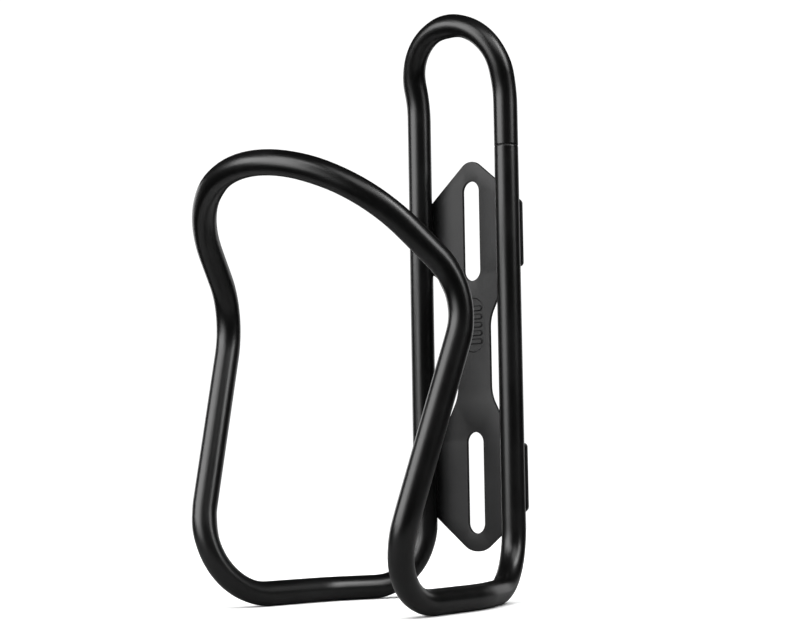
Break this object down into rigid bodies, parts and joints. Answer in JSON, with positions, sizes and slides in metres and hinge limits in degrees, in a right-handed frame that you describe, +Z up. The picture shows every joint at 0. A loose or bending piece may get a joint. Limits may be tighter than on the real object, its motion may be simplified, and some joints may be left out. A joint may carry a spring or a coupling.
{
  "type": "bicycle bottle cage",
  "caption": "Bottle cage bent from one hollow round tube, with a slotted mounting plate welded behind its two uprights.",
  "frame": {"origin": "midway between the two bolt slots, on the plate's rear face, where it meets the bicycle's frame", "axes": "+Z up, towards the bottle's mouth; +Y out of the plate's rear face, towards the bicycle's frame; +X across the cage"},
  "size_m": [0.0816, 0.0806, 0.1473],
  "materials": {
    "tube_coating": "satin black coating on aluminium tube",
    "plate_coating": "fine-textured satin black coating on sheet",
    "weld_coating": "satin black coating over weld",
    "bare_alloy": "bare drawn rod"
  },
  "bodies": {
    "root": {"tube": "tube_coating", "joint_spigot": "bare_alloy", "joint_seam": "tube_coating", "mounting_plate": "plate_coating", "weld_upper_left_inner": "weld_coating", "weld_upper_left_outer": "weld_coating", "weld_upper_right_inner": "weld_coating", "weld_upper_right_outer": "weld_coating", "weld_lower_left_inner": "weld_coating", "weld_lower_left_outer": "weld_coating", "weld_lower_right_inner": "weld_coating", "weld_lower_right_outer": "weld_coating"}
  },
  "joints": []
}
